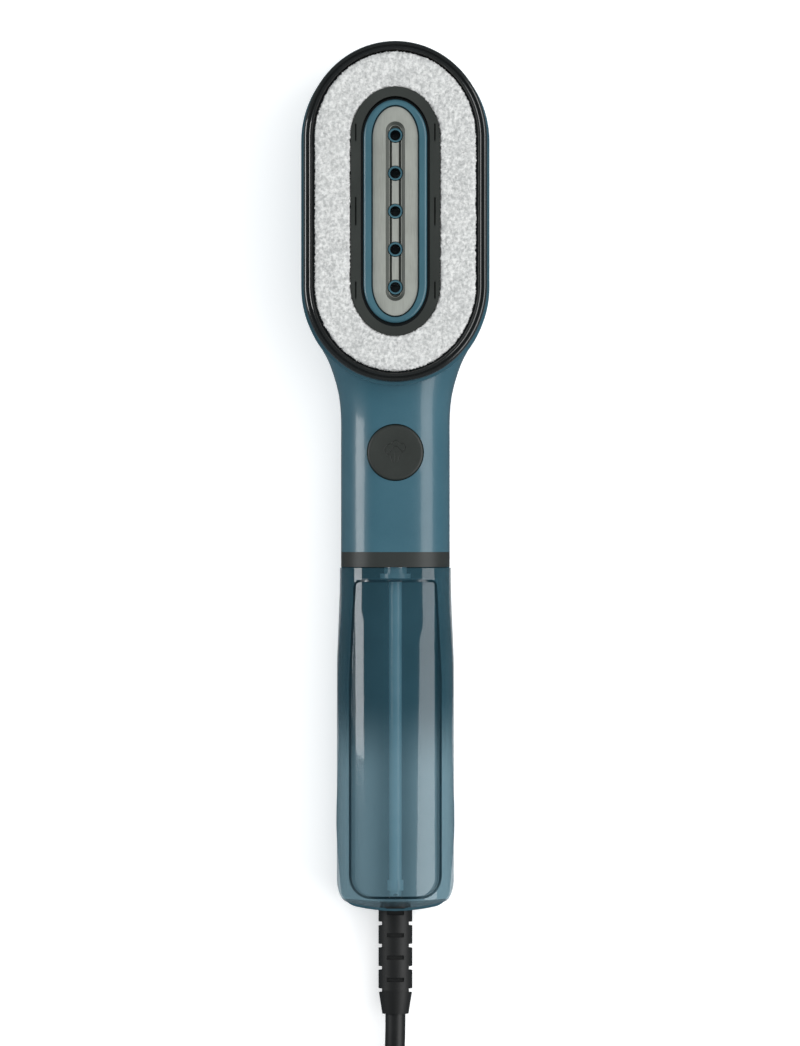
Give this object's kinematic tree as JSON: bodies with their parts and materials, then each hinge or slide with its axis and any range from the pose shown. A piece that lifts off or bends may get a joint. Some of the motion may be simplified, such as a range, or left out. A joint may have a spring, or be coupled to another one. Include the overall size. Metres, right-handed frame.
{
  "type": "handheld garment steamer",
  "caption": "Handheld garment steamer with an oval steam head, white fabric pad, press button and clear smoke-blue water tank in the handle, lying on its back with its cord coiled.",
  "frame": {"origin": "on the surface the steamer lies on, under the middle of the steamer without its cord", "axes": "+X across the head, +Y up the handle towards the head, +Z out of the steam face"},
  "size_m": [0.0947, 0.4625, 0.0572],
  "materials": {
    "shell_blue": "smooth gloss, tinted steel blue",
    "black_gloss": "gloss black",
    "collar_grey": "satin dark grey",
    "dark_matte": "fine matte dark grey",
    "button_grey": "soft matte, engraved steam mark",
    "tank_tint": "clear smoke-blue moulding",
    "clear_blue": "clear light-blue moulding",
    "ring_blue": "gloss blue",
    "plate_steel": "brushed stainless steel",
    "plain_steel": "zinc-plated or spring steel",
    "pad_white": "short dense pile",
    "cast_alloy": "as die-cast",
    "black_rubber": "soft matte moulding",
    "cord_jacket": "flexible jacket, slight sheen",
    "silicone": "soft translucent silicone",
    "copper": "enamelled copper winding",
    "board_green": "coated circuit board",
    "white_plastic": "white heat-proof plastic",
    "wire_red": "insulated core"
  },
  "bodies": {
    "housing": {"rear_shell": "shell_blue", "front_shell": "shell_blue", "shell_screws": "plain_steel", "spine_cover": "shell_blue", "strain_relief": "black_rubber", "inner_lead": "cord_jacket", "cord_clamp": "dark_matte", "clamp_screws": "plain_steel", "terminal_block": "dark_matte", "lead_wires": "wire_red", "tank_collar": "collar_grey", "tank_socket": "dark_matte", "socket_seal": "silicone", "switch_board": "board_green", "micro_switch": "dark_matte", "pump_tube": "plain_steel", "pump_coil": "copper", "pump_frame": "plain_steel", "pump_mounts": "black_rubber", "feed_hose": "silicone", "steam_hose": "silicone", "heating_element": "plain_steel", "heater_block": "cast_alloy", "heater_cover": "cast_alloy", "heater_screws": "plain_steel", "steam_inlet": "cast_alloy", "thermostat": "plain_steel", "thermal_fuse": "plain_steel", "plate_gasket": "silicone", "nozzle_ring": "ring_blue", "steam_plate": "plate_steel", "steam_nozzles": "ring_blue", "head_rim": "black_gloss", "button_spring": "plain_steel", "pump_spring": "plain_steel", "cord_coil": "cord_jacket", "power_cord": "cord_jacket", "cord_tail": "cord_jacket", "plug_body": "black_rubber", "plug_blades": "plain_steel"},
    "tank": {"tank_front": "tank_tint", "tank_tub": "tank_tint", "tank_port": "clear_blue", "port_seal": "black_rubber", "suction_tube": "clear_blue", "suction_foot": "clear_blue"},
    "filler": {"filler_plug": "black_rubber"},
    "button": {"steam_button": "button_grey"},
    "switch_pin": {"switch_plunger": "white_plastic"},
    "pump_core": {"pump_plunger": "plain_steel"},
    "pad": {"pad_frame": "dark_matte", "pad_cloth": "pad_white"}
  },
  "joints": [
    {"name": "steam_button_press", "type": "slide", "parent": "housing", "child": "button", "axis": [0, 0, -1], "range_m": [0, 0.0022], "stiffness_N_per_m": 300, "springref_m": -0.004, "deforming": ["button_spring"]},
    {"name": "switch_pin_press", "type": "slide", "parent": "housing", "child": "switch_pin", "axis": [0, 0, -1], "range_m": [0, 0.0022]},
    {"name": "pump_core_stroke", "type": "slide", "parent": "housing", "child": "pump_core", "axis": [0, 1, 0], "range_m": [-0.0015, 0.0015], "stiffness_N_per_m": 150, "deforming": ["pump_spring"]},
    {"name": "tank_slide", "type": "slide", "parent": "housing", "child": "tank", "axis": [0, -1, 0], "range_m": [0, 0.056]},
    {"name": "filler_plug_pull", "type": "slide", "parent": "tank", "child": "filler", "axis": [0, -1, 0], "range_m": [0, 0.012]},
    {"name": "pad_lift", "type": "slide", "parent": "housing", "child": "pad", "axis": [0, 0, 1], "range_m": [0, 0.02]}
  ],
  "couplings": [
    {"joint": "switch_pin_press", "follows": "steam_button_press", "ratio": 1}
  ]
}
